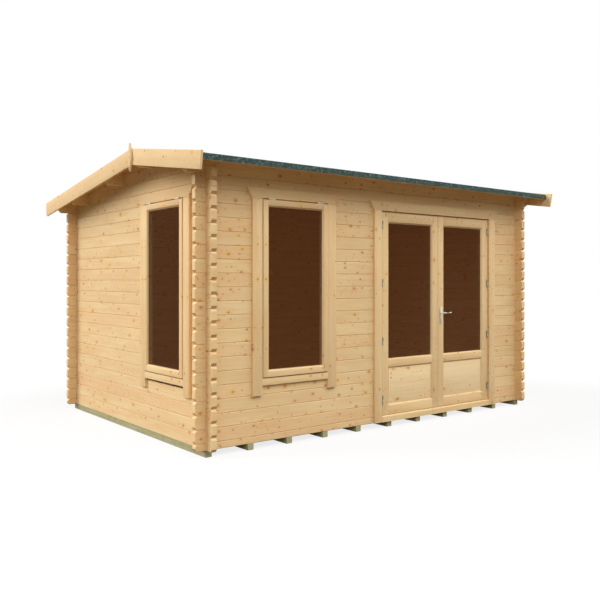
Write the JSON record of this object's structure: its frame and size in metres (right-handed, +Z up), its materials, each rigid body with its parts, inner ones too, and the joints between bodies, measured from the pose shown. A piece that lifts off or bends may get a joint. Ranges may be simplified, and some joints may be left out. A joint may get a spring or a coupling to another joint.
{
  "type": "log cabin",
  "caption": "Small garden log cabin: crossed-corner softwood logs, low felted apex roof, outward double doors with half glazing, tall windows in the front and the left gable.",
  "frame": {"origin": "on the ground under the middle of the roof's outline, which is also the middle of the wall rectangle", "axes": "+X along the front wall to the right seen from outside, +Y from the front wall to the back wall, +Z up"},
  "size_m": [4.598, 3.478, 2.6317],
  "materials": {
    "planed_spruce": "planed, untreated",
    "joinery_spruce": "planed joinery timber, untreated",
    "treated_bearer": "pressure treated, green-grey",
    "green_mineral_felt": "bitumen felt with green mineral granules",
    "window_glass": "clear float glass",
    "satin_steel": "satin"
  },
  "bodies": {
    "cabin": {"back_roof_boards": "planed_spruce", "back_roof_felt": "green_mineral_felt", "back_wall": "planed_spruce", "back_wall_plate": "planed_spruce", "door_frame": "joinery_spruce", "door_hinge_pins": "satin_steel", "door_trim": "joinery_spruce", "eave_battens": "planed_spruce", "finials": "joinery_spruce", "floor_bearers": "treated_bearer", "floor_boards": "planed_spruce", "front_roof_boards": "planed_spruce", "front_roof_felt": "green_mineral_felt", "front_wall_left": "planed_spruce", "front_wall_over_door": "planed_spruce", "front_wall_plate": "planed_spruce", "front_wall_right": "planed_spruce", "front_window_frame": "joinery_spruce", "front_window_glass": "window_glass", "front_window_hinges": "satin_steel", "front_window_sash": "joinery_spruce", "front_window_trim": "joinery_spruce", "gable_window_frame": "joinery_spruce", "gable_window_glass": "window_glass", "gable_window_hinges": "satin_steel", "gable_window_sash": "joinery_spruce", "gable_window_trim": "joinery_spruce", "left_back_bargeboard": "joinery_spruce", "left_front_bargeboard": "joinery_spruce", "left_gable_peak": "planed_spruce", "left_gable_wall": "planed_spruce", "right_back_bargeboard": "joinery_spruce", "right_front_bargeboard": "joinery_spruce", "right_gable_peak": "planed_spruce", "right_gable_wall": "planed_spruce", "roof_purlins": "planed_spruce"},
    "left_door": {"left_door_leaf": "joinery_spruce", "left_door_glass": "window_glass", "left_door_panel": "joinery_spruce", "left_door_hinges": "satin_steel"},
    "right_door": {"right_door_leaf": "joinery_spruce", "right_door_glass": "window_glass", "right_door_panel": "joinery_spruce", "right_door_hinges": "satin_steel", "handle_plates": "satin_steel"},
    "door_handle": {"door_handle": "satin_steel"}
  },
  "joints": [
    {"name": "left_door_hinge", "type": "hinge", "parent": "cabin", "child": "left_door", "pos_m": [-0.10325, -1.445, 1.1], "axis": [0, 0, -1], "range_deg": [0, 110]},
    {"name": "right_door_hinge", "type": "hinge", "parent": "cabin", "child": "right_door", "pos_m": [1.49725, -1.445, 1.1], "axis": [0, 0, 1], "range_deg": [0, 110]},
    {"name": "lever_turn", "type": "hinge", "parent": "right_door", "child": "door_handle", "pos_m": [0.74, -1.43, 1.086], "axis": [0, 1, 0], "range_deg": [0, 40], "stiffness_Nm_per_rad": 1.5, "springref_deg": -20.05}
  ]
}
